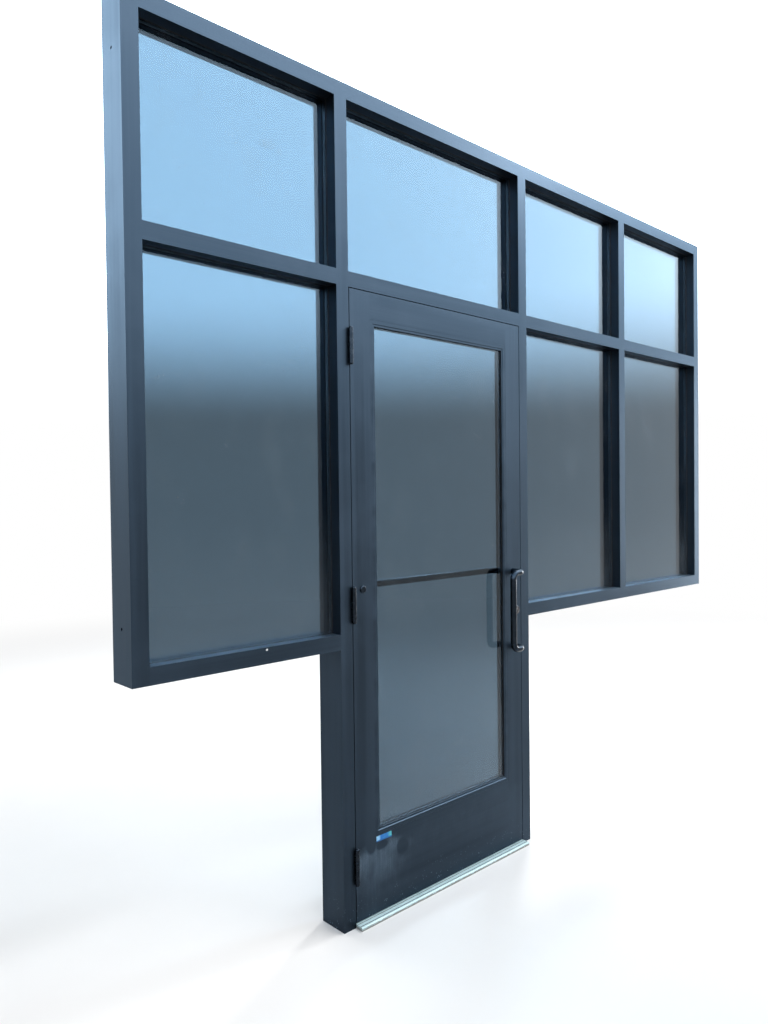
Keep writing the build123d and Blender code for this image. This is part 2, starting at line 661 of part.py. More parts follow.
def make_rails():
    """Rails between the stiles, the bottom one with a web, and the rods that clamp stiles to rails."""
    width = GLAZED_RIGHT - GLAZED_LEFT
    for name, z_mid, height in (
        ("top_rail", GLAZED_TOP + TOP_RAIL_HEIGHT / 2, TOP_RAIL_HEIGHT),
        ("bottom_rail", GLAZED_BOTTOM - BOTTOM_RAIL_HEIGHT / 2, BOTTOM_RAIL_HEIGHT),
    ):
        plane = Plane(origin=(GLAZED_LEFT, DOOR_MIDDLE, z_mid), x_dir=(0, 0, 1), z_dir=(1, 0, 0))
        with BuildPart() as rail:
            with BuildSketch(plane):
                draw_door_tube(height)
                if name == "bottom_rail":
                    Rectangle(DOOR_WALL, DOOR_THICKNESS)
            extrude(amount=width)
        save(rail, name)

    nut_seats = [GLAZED_LEFT - DOOR_WALL - NUT_THICKNESS, GLAZED_RIGHT + DOOR_WALL]
    rod_low = GLAZED_LEFT - DOOR_WALL - NUT_THICKNESS - ROD_END
    rod_high = GLAZED_RIGHT + DOOR_WALL + NUT_THICKNESS + ROD_END
    with BuildPart() as tie_rods:
        for z in TIE_ROD_HEIGHTS:
            with BuildSketch(Plane(origin=(rod_low, DOOR_MIDDLE, z), z_dir=(1, 0, 0))):
                Circle(TIE_ROD_RADIUS)
            extrude(amount=rod_high - rod_low)
            for x in nut_seats:
                with BuildSketch(Plane(origin=(x, DOOR_MIDDLE, z), z_dir=(1, 0, 0))):
                    RegularPolygon(NUT_RADIUS, 6)
                    Circle(TIE_ROD_RADIUS + THREAD_CLEARANCE, mode=Mode.SUBTRACT)
                extrude(amount=NUT_THICKNESS)
    save(tie_rods, "tie_rods")


def make_door_glass():
    """The door's glass unit with its spacer, gaskets and setting blocks."""
    bite = STOP_WIDTH - DOOR_GLASS_EDGE_GAP
    glass_out = DOOR_MIDDLE - GLASS_UNIT / 2
    glass_in = DOOR_MIDDLE + GLASS_UNIT / 2
    with BuildPart() as door_glass:
        lite_slab(DOOR_LITE, bite, glass_out, glass_out + PANE)
        lite_slab(DOOR_LITE, bite, glass_in - PANE, glass_in)
    save(door_glass, "door_glass")

    with BuildPart() as door_glass_spacer:
        lite_slab(DOOR_LITE, bite, glass_out + PANE, glass_in - PANE, hole_grow=bite - SPACER_HEIGHT)
    save(door_glass_spacer, "door_glass_spacer")

    with BuildPart() as door_gaskets:
        lite_slab(DOOR_LITE, GASKET_HEIGHT, glass_out - DOOR_GASKET, glass_out, hole_grow=0)
        lite_slab(DOOR_LITE, GASKET_HEIGHT, glass_in, glass_in + DOOR_GASKET, hole_grow=0)
    save(door_gaskets, "door_gaskets")

    quarter = (GLAZED_RIGHT - GLAZED_LEFT) / 4
    with BuildPart() as door_setting_blocks:
        for x_mid in (GLAZED_LEFT + quarter, GLAZED_RIGHT - quarter):
            low = (x_mid - BLOCK_LENGTH / 2, DOOR_MIDDLE - DOOR_BLOCK_WIDTH / 2, GLAZED_BOTTOM)
            high = (
                x_mid + BLOCK_LENGTH / 2,
                DOOR_MIDDLE + DOOR_BLOCK_WIDTH / 2,
                GLAZED_BOTTOM + DOOR_GLASS_EDGE_GAP,
            )
            block(low, high)
    save(door_setting_blocks, "door_setting_blocks")


def draw_stop_section(outward):
    """Glass stop, with local X from the rail towards the glass and local Y through the door, out of it."""
    face = DOOR_THICKNESS / 2 - STOP_RECESS
    seat = GLASS_UNIT / 2 + DOOR_GASKET
    points = [
        (0, face),
        (STOP_FLAT, face),
        (STOP_FLAT + STOP_STEP, face - STOP_STEP),
        (STOP_WIDTH, face - STOP_STEP),
        (STOP_WIDTH, seat),
        (CLIP_LEG, seat),
        (CLIP_LEG, seat - CLIP_DEPTH),
        (0, seat - CLIP_DEPTH),
    ]
    Polygon(*[(x, outward * y) for x, y in points], align=None)


def make_glass_stops(name, outward):
    """Four mitred bars round the glass; outward is -1 outside and 1 inside."""
    width = GLAZED_RIGHT - GLAZED_LEFT
    height = GLAZED_TOP - GLAZED_BOTTOM
    middle = ((GLAZED_LEFT + GLAZED_RIGHT) / 2, DOOR_MIDDLE, (GLAZED_BOTTOM + GLAZED_TOP) / 2)
    bars = [
        ((1, 0, 0), (0, 0, 1), width, height),
        ((1, 0, 0), (0, 0, -1), width, height),
        ((0, 0, 1), (1, 0, 0), height, width),
        ((0, 0, 1), (-1, 0, 0), height, width),
    ]
    with BuildPart() as stops:
        for along, inward, length, across in bars:
            along, inward = Vector(*along), Vector(*inward)
            start = Vector(*middle) - along * (length / 2) - inward * (across / 2)
            depth_sign = along.cross(inward).Y
            with BuildPart(mode=Mode.PRIVATE) as bar:
                with BuildSketch(Plane(origin=start, x_dir=inward, z_dir=along)):
                    draw_stop_section(outward * depth_sign)
                extrude(amount=length)
                for end, lean in ((start, 1), (start + along * length, -1)):
                    cut_origin = end + along * (lean * JOINT_GAP / sqrt(2))
                    cut = Plane(origin=cut_origin, z_dir=along * lean - inward)
                    split(bisect_by=cut, keep=Keep.TOP)
            add(bar.part)
    save(stops, name)


def make_sweep():
    """Seal on the inner face of the bottom rail, with a lip that hangs just above the threshold."""
    half_length = DOOR_OPENING_WIDTH / 2 - DOOR_STOP - SWEEP_END_GAP
    plate_bottom = DOOR_BOTTOM + SWEEP_RISE
    with BuildPart() as door_sweep:
        low = (-half_length, DOOR_BACK, plate_bottom)
        high = (half_length, DOOR_BACK + SWEEP_PLATE, plate_bottom + SWEEP_HEIGHT)
        block(low, high)
        low = (-half_length, DOOR_BACK, THRESHOLD_HEIGHT + SWEEP_CLEARANCE)
        high = (half_length, DOOR_BACK + SWEEP_LIP, plate_bottom)
        block(low, high)
    save(door_sweep, "door_sweep")


# Handles


def make_round_bar(name, corners, end_planes):
    """Round bar bent through the corners, with a tapped hole in each end."""
    with BuildPart() as bar:
        with BuildLine() as path:
            FilletPolyline(*corners, radius=GRIP_BEND_RADIUS)
        with BuildSketch(Plane(origin=path.line @ 0, z_dir=path.line % 0)):
            Circle(GRIP_DIAMETER / 2)
        sweep(path=path.line)
        with Locations(*end_planes):
            Hole(radius=HANDLE_BOLT_RADIUS + THREAD_CLEARANCE, depth=HANDLE_BOLT_DEPTH + BOLT_CLEARANCE)
    save(bar, name)


def make_handles():
    """Offset pull outside, push bar inside behind its upper post, and the bolts that hold both."""
    grip_y = FRONT - GRIP_STANDOFF
    grip_x = PULL_POST - PULL_OFFSET
    pull_corners = [
        (PULL_POST, FRONT, PULL_TOP),
        (PULL_POST, grip_y, PULL_TOP),
        (grip_x, grip_y, PULL_TOP),
        (grip_x, grip_y, PULL_BOTTOM),
        (PULL_POST, grip_y, PULL_BOTTOM),
        (PULL_POST, FRONT, PULL_BOTTOM),
    ]
    pull_ends = [Plane(origin=(PULL_POST, FRONT, z), z_dir=(0, 1, 0)) for z in (PULL_TOP, PULL_BOTTOM)]
    make_round_bar("outside_pull", pull_corners, pull_ends)

    bar_y = DOOR_BACK + GRIP_STANDOFF
    bar_corners = [
        (PUSH_POST, DOOR_BACK, PUSH_BAR_HEIGHT),
        (PUSH_POST, bar_y, PUSH_BAR_HEIGHT),
        (PULL_POST, bar_y, PUSH_BAR_HEIGHT),
        (PULL_POST, DOOR_BACK, PUSH_BAR_HEIGHT),
    ]
    bar_ends = [
        Plane(origin=(x, DOOR_BACK, PUSH_BAR_HEIGHT), z_dir=(0, -1, 0)) for x in (PUSH_POST, PULL_POST)
    ]
    make_round_bar("push_bar", bar_corners, bar_ends)

    bolts = [
        (PULL_POST, PULL_TOP, FRONT - HANDLE_BOLT_DEPTH, DOOR_BACK + HANDLE_BOLT_DEPTH, None),
        (PULL_POST, PULL_BOTTOM, FRONT - HANDLE_BOLT_DEPTH, DOOR_BACK, 1),
        (PUSH_POST, PUSH_BAR_HEIGHT, FRONT, DOOR_BACK + HANDLE_BOLT_DEPTH, -1),
    ]
    with BuildPart() as handle_bolts:
        for x, z, y_low, y_high, cap_side in bolts:
            with BuildSketch(Plane(origin=(x, y_high, z), z_dir=(0, -1, 0))):
                Circle(HANDLE_BOLT_RADIUS)
            extrude(amount=y_high - y_low)
            if cap_side is not None:
                cap_y = FRONT if cap_side < 0 else DOOR_BACK
                with BuildSketch(Plane(origin=(x, cap_y, z), z_dir=(0, cap_side, 0))):
                    Circle(CAP_RADIUS)
                extrude(amount=CAP_HEIGHT)
        rims = [
            rim
            for rim in handle_bolts.edges().filter_by(GeomType.CIRCLE)
            if min(abs(rim.center().Y - FRONT + CAP_HEIGHT), abs(rim.center().Y - DOOR_BACK - CAP_HEIGHT)) < 0.01
        ]
        fillet(rims, radius=CAP_FILLET)
    save(handle_bolts, "handle_bolts")


# Lock


def make_lock_case():
    """Hollow case behind the face plate in the door's edge."""
    case_right = LOCK_EDGE - DOOR_WALL
    case_left = case_right - LOCK_CASE_DEPTH
    case_z = LOCK_HEIGHT + LOCK_CASE_RISE
    z_low, z_high = case_z - LOCK_CASE_HEIGHT / 2, case_z + LOCK_CASE_HEIGHT / 2
    wall = LOCK_CASE_WALL
    with BuildPart() as lock_case:
        block((case_left, CASE_FRONT, z_low), (case_right, CASE_BACK, z_high))
        low = (case_left + wall, CASE_FRONT + wall, z_low + wall)
        high = (case_right, CASE_BACK - wall, z_high - wall)
        block(low, high, mode=Mode.SUBTRACT)
        low = (case_right, DOOR_MIDDLE - FACE_PLATE_WIDTH / 2, case_z - FACE_PLATE_HEIGHT / 2)
        high = (LOCK_EDGE, DOOR_MIDDLE + FACE_PLATE_WIDTH / 2, case_z + FACE_PLATE_HEIGHT / 2)
        block(low, high)
        half_width = BOLT_THICKNESS / 2 + BOLT_SIDE_CLEARANCE
        half_height = BOLT_HEIGHT / 2 + BOLT_SIDE_CLEARANCE
        low = (case_right - 1, DOOR_MIDDLE - half_width, BOLT_Z - half_height)
        high = (LOCK_EDGE + 1, DOOR_MIDDLE + half_width, BOLT_Z + half_height)
        block(low, high, mode=Mode.SUBTRACT)
        bore = CYLINDER_RADIUS + CYLINDER_CLEARANCE
        drill([(CYLINDER_X, CASE_FRONT, LOCK_HEIGHT)], (0, -1, 0), bore)
    save(lock_case, "lock_case")


def draw_cylinder(face_y, outward, inner_y, bore):
    """Round lock body from a door face to the case, with a bevelled collar and a bore along it."""
    axis_plane = Plane(origin=(CYLINDER_X, face_y, LOCK_HEIGHT), z_dir=(0, outward, 0))
    depth = abs(inner_y - face_y)
    with BuildPart(mode=Mode.PRIVATE) as cylinder:
        with BuildSketch(axis_plane):
            Circle(COLLAR_RADIUS)
        extrude(amount=COLLAR_HEIGHT)
        rim = cylinder.faces().sort_by(Axis.Y)[0 if outward < 0 else -1].edges()
        chamfer(rim, length=COLLAR_BEVEL)
        with BuildSketch(axis_plane):
            Circle(CYLINDER_RADIUS)
        extrude(amount=-depth)
        with Locations(axis_plane.offset(COLLAR_HEIGHT)):
            Hole(radius=bore)
    add(cylinder.part)


def make_lock():
    """Cylinder bodies, key plug, thumbturn, deadbolt and strike plate."""
    make_lock_case()
    cylinder_inner = CASE_FRONT + LOCK_CASE_WALL
    turn_inner = CASE_BACK - LOCK_CASE_WALL
    with BuildPart() as lock_cylinders:
        draw_cylinder(FRONT, -1, cylinder_inner, PLUG_RADIUS + TURNING_CLEARANCE)
        draw_cylinder(DOOR_BACK, 1, turn_inner, SPINDLE_RADIUS + TURNING_CLEARANCE)
    save(lock_cylinders, "lock_cylinders")

    plug_origin = (CYLINDER_X, FRONT - COLLAR_HEIGHT, LOCK_HEIGHT)
    plug_face = Plane(origin=plug_origin, x_dir=(1, 0, 0), z_dir=(0, -1, 0))
    with BuildPart() as key_plug:
        with BuildSketch(plug_face):
            Circle(PLUG_RADIUS)
        extrude(amount=-(cylinder_inner - FRONT + COLLAR_HEIGHT))
        with BuildSketch(plug_face):
            Rectangle(KEYWAY_WIDTH, KEYWAY_HEIGHT)
        extrude(amount=-KEYWAY_DEPTH, mode=Mode.SUBTRACT)
    save(key_plug, "key_plug")

    paddle_y = DOOR_BACK + COLLAR_HEIGHT + THUMB_CLEARANCE
    paddle_plane = Plane(origin=(CYLINDER_X, paddle_y, LOCK_HEIGHT), x_dir=(1, 0, 0), z_dir=(0, 1, 0))
    with BuildPart() as thumbturn:
        with BuildSketch(paddle_plane):
            RectangleRounded(THUMB_WIDTH, THUMB_HEIGHT, THUMB_FILLET)
        extrude(amount=THUMB_REACH)
        fillet(thumbturn.faces().sort_by(Axis.Y)[-1].edges(), radius=THUMB_FILLET / 2)
        with BuildSketch(paddle_plane):
            Circle(SPINDLE_RADIUS)
        extrude(amount=-(paddle_y - turn_inner + SPINDLE_REACH))
    save(thumbturn, "thumbturn")

    nose = LOCK_EDGE - BOLT_SINK
    with BuildPart() as deadbolt:
        low = (nose - BOLT_LENGTH, DOOR_MIDDLE - BOLT_THICKNESS / 2, BOLT_Z - BOLT_HEIGHT / 2)
        high = (nose, DOOR_MIDDLE + BOLT_THICKNESS / 2, BOLT_Z + BOLT_HEIGHT / 2)
        block(low, high)
        fillet(deadbolt.faces().sort_by(Axis.X)[-1].edges(), radius=BOLT_NOSE_FILLET)
    save(deadbolt, "deadbolt")

    with BuildPart() as strike_plate:
        low = (LOCK_JAMB, DOOR_MIDDLE - STRIKE_WIDTH / 2, BOLT_Z - STRIKE_HEIGHT / 2)
        high = (LOCK_JAMB + STRIKE_THICKNESS, DOOR_MIDDLE + STRIKE_WIDTH / 2, BOLT_Z + STRIKE_HEIGHT / 2)
        block(low, high)
        strike_hole(LOCK_JAMB, LOCK_JAMB + STRIKE_THICKNESS)
    save(strike_plate, "strike_plate")


make_uprights()
make_crossbars()
make_frame_glass()
make_pocket_fillers()
make_door_stops()
make_weatherstrips()
make_threshold()
make_hinges()
make_stiles()
make_rails()
make_door_glass()
make_glass_stops("outer_glass_stops", -1)
make_glass_stops("inner_glass_stops", 1)
make_sweep()
make_handles()
make_lock()
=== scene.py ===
"""Looks for a glazed aluminium storefront door with its frame, transom lites and side windows.

Lengths are in metres. Colours are linear red, green and blue.
"""

import math
import random

import bmesh
import bpy
from mathutils import Matrix, Vector


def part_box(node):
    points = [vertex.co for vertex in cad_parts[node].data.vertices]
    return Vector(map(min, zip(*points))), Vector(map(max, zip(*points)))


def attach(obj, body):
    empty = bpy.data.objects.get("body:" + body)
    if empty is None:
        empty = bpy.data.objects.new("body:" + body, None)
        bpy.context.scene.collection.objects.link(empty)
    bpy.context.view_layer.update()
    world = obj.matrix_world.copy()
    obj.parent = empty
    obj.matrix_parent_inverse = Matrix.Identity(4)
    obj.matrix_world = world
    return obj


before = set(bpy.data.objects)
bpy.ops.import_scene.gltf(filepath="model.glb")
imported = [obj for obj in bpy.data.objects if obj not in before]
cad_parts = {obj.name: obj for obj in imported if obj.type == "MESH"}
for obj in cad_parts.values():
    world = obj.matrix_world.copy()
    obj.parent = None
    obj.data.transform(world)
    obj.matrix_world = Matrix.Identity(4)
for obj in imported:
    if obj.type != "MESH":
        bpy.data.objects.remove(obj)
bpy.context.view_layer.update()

# The camera was fitted to the photograph. Lens and sensor are in millimetres, angles in degrees.
CAMERA_PLACE = (-2.12084, -2.00474, 1.44184)
CAMERA_LENS, CAMERA_SENSOR = 27.203, 36.0
CAMERA_TURN, CAMERA_TILT, CAMERA_ROLL = -42.93792, 90.0 - 1.14538, -0.66328

# Each lamp: name, place, point it faces, width, height, watts, and whether surfaces mirror it.
LAMPS = (
    ("key", (5.55, -4.0, 6.5), (5.55, 0.0, 4.6), 10.0, 1.2, 520.0, True),
    ("glint", (2.6, -0.8, 4.1), (0.0, -0.1, 1.1), 0.5, 0.5, 48.0, True),
    ("inner_glint", (2.5, 1.25, 3.4), (0.2, 0.04, 1.13), 0.5, 0.5, 60.0, True),
    ("side", (7.0, -1.1, 1.5), (0.0, -0.1, 1.2), 1.4, 2.6, 150.0, True),
    ("front_fill", (-1.5, -5.0, 3.6), (0.4, 0.0, 1.3), 4.0, 3.0, 85.0, False),
    ("back_fill", (0.6, 4.8, 4.2), (0.4, 0.0, 1.3), 6.0, 3.0, 210.0, False),
)
# The even light on the object.
AMBIENT, AMBIENT_TINT = 0.38, (0.96, 0.98, 1.0)
# What eye, metal and glass see behind the object: white up to the first height, given as the sine
# of its angle above the horizon, and DOME above the second.
DOME_LOW, DOME_HIGH = 0.09, 0.26
WHITE = (1.0, 1.0, 1.0)
DOME = (4.5, 5.3, 5.9)
# The floor turns from its own tones to plain white between these distances from the origin.
FLOOR_REACH = 60.0
FLOOR_FADE = (2.6, 8.0)
FLOOR_TONES = (0.80, 0.80, 0.80), (0.84, 0.84, 0.84)

# Finishes with two tones vary between them.
ANODISED = (0.0165, 0.0250, 0.0360), (0.0220, 0.0325, 0.0460)
ANODISED_CLOUD = (0.029, 0.041, 0.057)
ANODISED_GRAIN = (0.040, 0.053, 0.072)
# Blue tint of the frame's reflections: painted sky colour in the sheen.
PAINTED_SKY_SHEEN_TINT = (0.75, 0.86, 0.98)
# Dust, which on faces that look up also stands for painted light.
DUST_AND_PAINTED_LIGHT = (0.18, 0.255, 0.34)
MILL = (0.41, 0.55, 0.57), (0.53, 0.67, 0.69)
MILL_LINES = (0.60, 0.74, 0.76)
FLUTE_DIRT_AND_SHADE = (0.010, 0.014, 0.015)
CEMENT = (0.20, 0.185, 0.165)
SPACER = (0.10, 0.11, 0.12), (0.17, 0.18, 0.20)
ZINC = (0.42, 0.43, 0.45), (0.62, 0.64, 0.67)
LOCK_STEEL = (0.40, 0.41, 0.43), (0.60, 0.61, 0.63)
GRIME = (0.16, 0.155, 0.15)
HINGE_STEEL = (0.012, 0.016, 0.022), (0.020, 0.025, 0.032)
HANDLE_METAL = (0.013, 0.018, 0.025), (0.019, 0.025, 0.033)
CYLINDER_METAL = (0.07, 0.07, 0.075), (0.14, 0.14, 0.148)
RUBBER = (0.008, 0.008, 0.009), (0.022, 0.022, 0.024)
DRIED_PAINT = (0.55, 0.56, 0.56), (0.72, 0.73, 0.73)
SPOT_DIRT = (0.004, 0.004, 0.005), (0.010, 0.010, 0.011)
LABEL_PALE, LABEL_BLUE, LABEL_TEAL = (0.26, 0.50, 0.70), (0.010, 0.13, 0.40), (0.08, 0.40, 0.42)
LABEL_MOTTLE, LABEL_LOWER_EDGE = (0.04, 0.25, 0.54), (0.012, 0.10, 0.30)
PANE_TINT = (0.235, 0.300, 0.350)
PANE_MIRROR = (0.36, 0.43, 0.50)
PANE_SHADOW = (0.80, 0.85, 0.88)
PANE_FILM = (0.50, 0.52, 0.54)

# Flutes filled near-black, with dirt and painted shade: Y of one flute's centre, the step to the
# next dark one, and the heights between which the dark fill begins and ends.
FLUTE_AT = -0.079075
FLUTE_PAIR = 0.0158
FLUTE_FLOOR, FLUTE_TOP = (0.0112, 0.0116), (0.0122, 0.0127)
# Cement is splashed up to between these heights.
CEMENT_TOP = (0.004, 0.0095)
# Dried splashes thin out up to this height.
SPLASH_TOP = 0.16
# Dust on the door: heights between which it ends above, and thins out below, and X between which
# it thins out away from the hinges.
DUST_TOP, DUST_LOW, DUST_SIDE = (0.225, 0.275), (0.06, 0.24), (-0.34, -0.14)
# Places that a hand has rubbed, on the door's metal and on the left transom lite: X, Z, half width
# and half height.
WIPED_CLEAN = (
    (-0.386, 0.262, 0.026, 0.042),
    (-0.238, 0.207, 0.030, 0.036),
    (-0.335, 0.243, 0.030, 0.016),
)
SMUDGES = (-0.735, 2.531, 0.030, 0.012), (-0.690, 2.520, 0.012, 0.010)
# The film on a pane gets denser down from haze_from + HAZE_FADE to haze_from.
HAZE_FADE = 0.55
WINDOW_HAZE_FROM, DOOR_HAZE_FROM = 0.9, 0.3

# The label's corners in X and Z, its thickness and how far its loose corner lifts, and the X and Z
# between which its colours change.
LABEL_LOW, LABEL_HIGH = (-0.3615, 0.2595), (-0.2910, 0.2785)
LABEL_THICK, LABEL_CURL = 0.00018, 0.0016
LABEL_PALE_END, LABEL_TEAL_START = (-0.352, -0.340), (-0.312, -0.296)
LABEL_EDGE_TOP = (0.2635, 0.2675)
# X and Z, half width and half height, and rise: the dried paint drop on the left sill and the dark
# spot on the lock stile.
DROP_X, DROP_Z, DROP_SIZE = -0.798, 0.9835, (0.0042, 0.0030, 0.0010)
SPOT_X, SPOT_Z, SPOT_SIZE = 0.4228, 1.332, (0.0036, 0.0036, 0.0006)

# X of the hinge leaves' faces on mullion and stile, the row of screws' distance from the leaf's
# edge, and each screw's height from the leaf's middle with its step towards that edge.
HINGE_FACE = {"frame": -0.4572, "door": -0.454025}
HINGE_ROW = 0.0215
HINGE_SCREWS = (-0.0445, 0.0), (-0.0150, 0.0120), (0.0150, 0.0120), (0.0445, 0.0)
# Distances of the other screws from the ends of face plate and strike, their X in the threshold,
# and how far they are sunk into it.
FACE_PLATE_END, STRIKE_END = 0.009, 0.010
FLOOR_SCREWS_X, FLOOR_SCREW_SINK = (-0.381, 0.381), 0.0012
# Radius and height of the screw heads.
HINGE_HEAD, LOCK_HEAD, FLOOR_HEAD = (0.0046, 0.0005), (0.0040, 0.0005), (0.0046, 0.0006)


class Nodes:
    """Adds shader nodes to the tree of a material or world, and joins them."""

    def __init__(self, owner):
        owner.use_nodes = True
        self.tree = owner.node_tree
        self.tree.nodes.clear()
        self.where = self.add("TexCoord", {})

    def add(self, kind, inputs, **settings):
        """Adds a node with its settings, and feeds its inputs by name or number."""
        node = self.tree.nodes.new("ShaderNode" + kind)
        for name, value in settings.items():
            setattr(node, name, value)
        for name, source in inputs.items():
            self.join(source, node.inputs[name])
        return node

    def join(self, source, target):
        """Feeds target from a socket, or sets it to a plain value."""
        if isinstance(source, bpy.types.NodeSocket):
            self.tree.links.new(source, target)
        elif target.type == "RGBA":
            target.default_value = (*source, 1.0)
        else:
            target.default_value = source

    def stretched(self, scale):
        """Object coordinates times one scale, or times a scale for each axis."""
        scales = scale if isinstance(scale, tuple) else (scale, scale, scale)
        place = {"Scale": scales, "Vector": self.where.outputs["Object"]}
        return self.add("Mapping", place).outputs[0]

    def noise(self, scale, detail=4.0, rough=0.55, distortion=0.0):
        """Noise between 0 and 1, with its scale in cells per metre."""
        inputs = {
            "Scale": 1.0,
            "Detail": detail,
            "Roughness": rough,
            "Distortion": distortion,
            "Vector": self.stretched(scale),
        }
        return self.add("TexNoise", inputs).outputs["Fac"]

    def specks(self, scale):
        """Distance to the nearest of many scattered points, in cells."""
        inputs = {"Scale": 1.0, "Vector": self.stretched(scale)}
        return self.add("TexVoronoi", inputs).outputs["Distance"]

    def maths(self, operation, first, second=0.0):
        """One arithmetic step on two values."""
        return self.add("Math", {0: first, 1: second}, operation=operation).outputs[0]

    def plus(self, first, second):
        """The sum of two values."""
        return self.maths("ADD", first, second)

    def minus(self, first, second):
        """The first value less the second."""
        return self.maths("SUBTRACT", first, second)

    def times(self, first, second):
        """The product of two values."""
        return self.maths("MULTIPLY", first, second)

    def ramp(self, value, low, high, out_low=0.0, out_high=1.0):
        """Maps low..high smoothly to out_low..out_high."""
        inputs = {
            "Value": value,
            "From Min": low,
            "From Max": high,
            "To Min": out_low,
            "To Max": out_high,
        }
        return self.add("MapRange", inputs, interpolation_type="SMOOTHSTEP").outputs[0]

    def blend(self, share, first, second):
        """Mixes two colours, or two colour sockets."""
        inputs = {"Factor": share, "A": first, "B": second}
        return self.add("Mix", inputs, data_type="RGBA").outputs["Result"]

    def blend_shaders(self, share, first, second):
        """Mixes two shaders."""
        return self.add("MixShader", {0: share, 1: first, 2: second}).outputs[0]

    def axis(self, name, kind="Object"):
        """One of X, Y and Z of the object's coordinates, or of another kind of them."""
        return self.add("SeparateXYZ", {0: self.where.outputs[kind]}).outputs[name]

    def seen_by_eye(self):
        """1 for camera, glossy and transmission rays."""
        path = self.add("LightPath", {})
        total = path.outputs["Is Camera Ray"]
        for name in ("Is Glossy Ray", "Is Transmission Ray"):
            total = self.maths("MAXIMUM", total, path.outputs[name])
        return total


class Finish(Nodes):
    """Nodes of a new material that ends in one Principled shader."""

    def __init__(self, name):
        self.material = bpy.data.materials.new(name)
        super().__init__(self.material)
        self.shader = self.add("BsdfPrincipled", {})
        self.output = self.add("OutputMaterial", {"Surface": self.shader.outputs[0]})

    def shade(self, inputs):
        """Feeds or sets the shader's inputs by name."""
        for name, source in inputs.items():
            self.join(source, self.shader.inputs[name])

    def bump(self, height, depth):
        """Bump of a real depth."""
        node = self.add("Bump", {"Distance": depth, "Height": height})
        self.join(node.outputs[0], self.shader.inputs["Normal"])


def streaked_scale(axis, along, across):
    """Noise scales that draw streaks along one axis."""
    return tuple(along if name == axis else across for name in "XYZ")


def dark_aluminium(name, axis, dusty_door=False):
    """Black anodised aluminium: grain along the extrusion, dust and painted light on ledges, and
    handling marks.
    """
    n = Finish(name)
    fine = n.noise(streaked_scale(axis, 2.2, 900.0), detail=2.0)
    broad = n.noise(streaked_scale(axis, 0.7, 26.0), detail=3.0)
    cloud = n.noise(3.1, detail=5.0, rough=0.6)
    tone = n.blend(n.ramp(broad, 0.3, 0.7), *ANODISED)
    tone = n.blend(n.ramp(cloud, 0.45, 0.72, 0.0, 0.35), tone, ANODISED_CLOUD)
    tone = n.blend(n.ramp(fine, 0.55, 0.8, 0.0, 0.25), tone, ANODISED_GRAIN)
    # On faces that look up, the dust mask is also painted light: those tops turn lighter.
    dust = n.maths("MAXIMUM", ledge_dust_and_painted_light(n), splashes(n))
    if dusty_door:
        dust = n.maths("MAXIMUM", dust, door_dust(n))
    gloss = n.plus(n.ramp(broad, 0.25, 0.75, 0.30, 0.40), n.ramp(fine, 0.3, 0.8, 0.0, 0.05))
    smears = n.ramp(cloud, 0.4, 0.7, 0.0, 0.07)
    n.shade({
        "Base Color": n.blend(dust, tone, DUST_AND_PAINTED_LIGHT),
        "Metallic": n.ramp(dust, 0.0, 0.6, 0.85, 0.0),
        "Specular IOR Level": 0.35,
        "Specular Tint": PAINTED_SKY_SHEEN_TINT,
        "Roughness": n.plus(n.plus(gloss, smears), n.times(dust, 0.3)),
    })
    n.bump(fine, 0.00004)
    return n.material


def ledge_dust_and_painted_light(n):
    """Dust that has settled on faces that look up, and painted light that makes those tops lighter.
    """
    up = n.ramp(n.axis("Z", "Normal"), 0.55, 0.95)
    grit = n.ramp(n.noise(170.0, detail=3.0), 0.42, 0.62, 0.3, 0.8)
    patches = n.ramp(n.noise(14.0), 0.30, 0.70, 0.35, 0.80)
    return n.times(n.times(up, patches), n.times(grit, 0.55))


def splashes(n):
    """Dried splashes low down, just over the floor."""
    low = n.ramp(n.axis("Z"), 0.0, SPLASH_TOP, 1.0, 0.0)
    drops = n.ramp(n.specks(120.0), 0.16, 0.30, 1.0, 0.0)
    rare = n.ramp(n.noise(35.0, detail=3.0), 0.48, 0.64)
    return n.times(n.times(low, drops), n.times(rare, 0.5))


def rubbed_patch(n, x, z, half_width, half_height, wander):
    """0 inside a rounded patch that a hand has rubbed, and 1 outside it."""
    across = n.maths("DIVIDE", n.minus(n.axis("X"), x), half_width)
    up = n.maths("DIVIDE", n.minus(n.axis("Z"), z), half_height)
    square = n.plus(n.times(across, across), n.times(up, up))
    return n.ramp(n.plus(n.maths("SQRT", square), wander), 0.75, 1.15)


def door_dust(n):
    """Dust on the outside of the door's lower hinge corner, which hands have wiped in streaks."""
    x = n.axis("X")
    z = n.axis("Z")
    outside = n.ramp(n.axis("Y", "Normal"), -0.9, -0.6, 1.0, 0.0)
    wander = n.ramp(n.noise(9.0), 0.25, 0.75, -0.5, 0.5)
    mask = n.ramp(n.plus(z, n.times(wander, 0.05)), *DUST_TOP, 1.0, 0.0)
    mask = n.times(mask, n.ramp(z, *DUST_LOW, 0.12, 1.0))
    side = n.plus(x, n.times(wander, 0.12))
    mask = n.times(mask, n.ramp(side, *DUST_SIDE, 1.0, 0.10))
    for patch in WIPED_CLEAN:
        mask = n.times(mask, rubbed_patch(n, *patch, n.times(wander, 0.5)))
    wipes = n.ramp(n.noise((260.0, 260.0, 7.0), detail=3.0, rough=0.65), 0.30, 0.72, 0.62, 1.0)
    wipes = n.times(wipes, n.ramp(n.noise((24.0, 24.0, 12.0)), 0.28, 0.66, 0.45, 1.0))
    grit = n.ramp(n.noise(420.0, detail=2.0), 0.35, 0.7, 0.6, 1.0)
    return n.times(n.times(n.times(mask, wipes), n.times(grit, outside)), 0.42)


